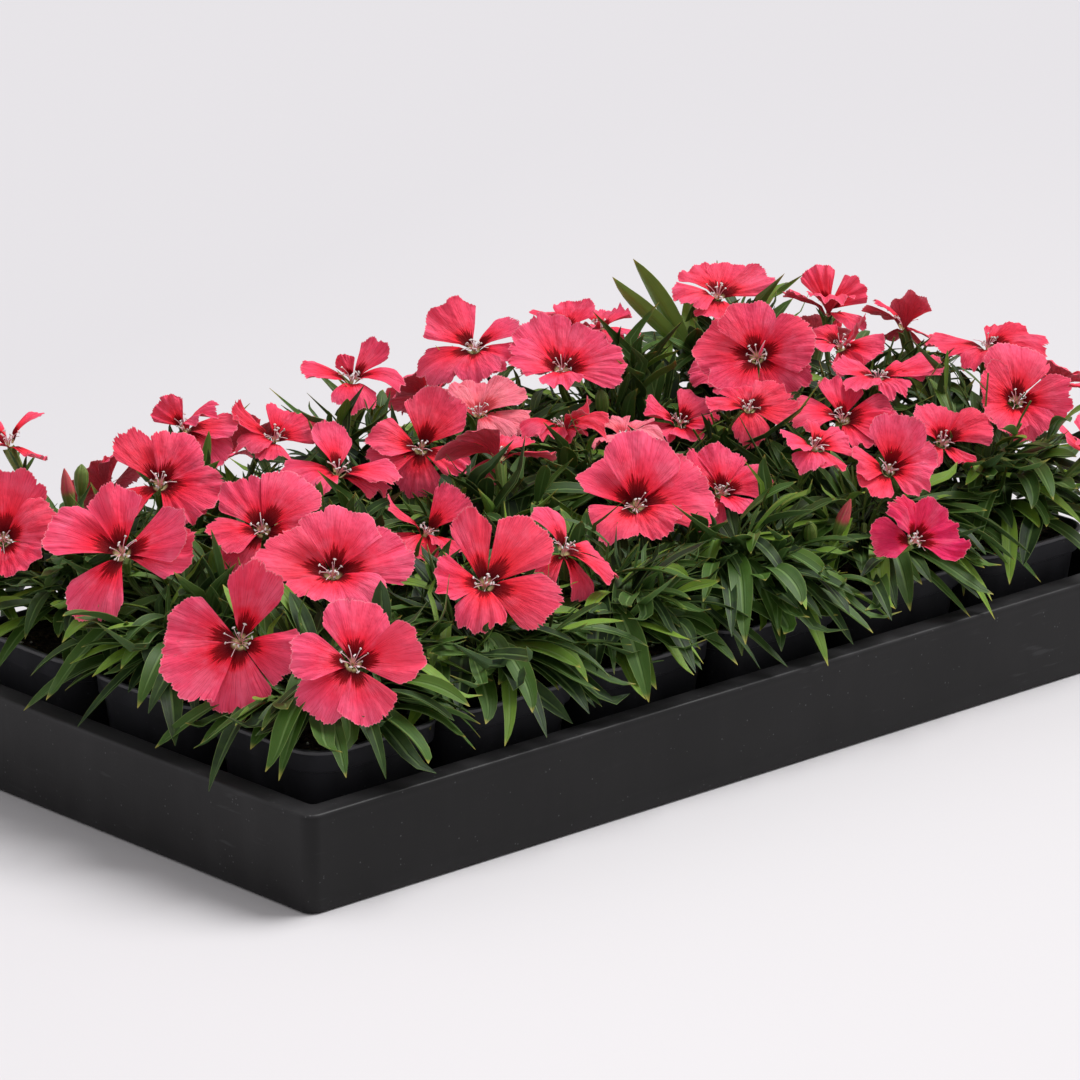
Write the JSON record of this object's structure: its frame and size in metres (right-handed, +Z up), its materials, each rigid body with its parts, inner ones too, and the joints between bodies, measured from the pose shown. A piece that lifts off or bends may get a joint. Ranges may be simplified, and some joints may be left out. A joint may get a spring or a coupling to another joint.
{
  "type": "dianthus plant flat",
  "caption": "Bedding tray of dianthus plants in bloom: bushy plants with coral flowers, in soil-filled cell packs on a carrier tray.",
  "frame": {"origin": "middle of the carrier tray's underside, on the surface that it stands on", "axes": "+Z up out of the pots, +X along the tray's long side, +Y along its short side"},
  "size_m": [0.5738, 0.3326, 0.165],
  "materials": {
    "tray": "black satin plastic, lightly scuffed",
    "pack": "thin black plastic, satin",
    "soil": "dark peaty potting mix, matt",
    "foliage": "narrow green leaves and stems, slightly waxy",
    "petal": "soft coral-pink petals with a dark crimson ring"
  },
  "bodies": {
    "root": {"tray": "tray", "pack_a": "pack", "soil_a": "soil", "foliage_a": "foliage", "pack_b": "pack", "soil_b": "soil", "foliage_b": "foliage", "pack_c": "pack", "soil_c": "soil", "foliage_c": "foliage", "bloom_01": "petal", "bloom_02": "petal", "bloom_03": "petal", "bloom_04": "petal", "bloom_05": "petal", "bloom_06": "petal", "bloom_07": "petal", "bloom_08": "petal", "bloom_09": "petal", "bloom_10": "petal", "bloom_11": "petal", "bloom_12": "petal", "bloom_13": "petal", "bloom_14": "petal", "bloom_15": "petal", "bloom_16": "petal", "bloom_17": "petal", "bloom_18": "petal", "bloom_19": "petal", "bloom_20": "petal", "bloom_21": "petal", "bloom_22": "petal", "bloom_23": "petal", "bloom_24": "petal", "bloom_25": "petal", "bloom_26": "petal", "bloom_27": "petal", "bloom_28": "petal", "bloom_29": "petal", "bloom_30": "petal", "bloom_31": "petal", "bloom_32": "petal", "bloom_33": "petal", "bloom_34": "petal", "bloom_35": "petal", "bloom_36": "petal", "bloom_37": "petal", "bloom_38": "petal", "bloom_39": "petal", "bloom_40": "petal", "bloom_41": "petal", "bloom_42": "petal", "bloom_43": "petal", "bloom_44": "petal", "bloom_45": "petal", "bloom_46": "petal", "bloom_47": "petal", "bloom_48": "petal", "bloom_49": "petal"}
  },
  "joints": []
}
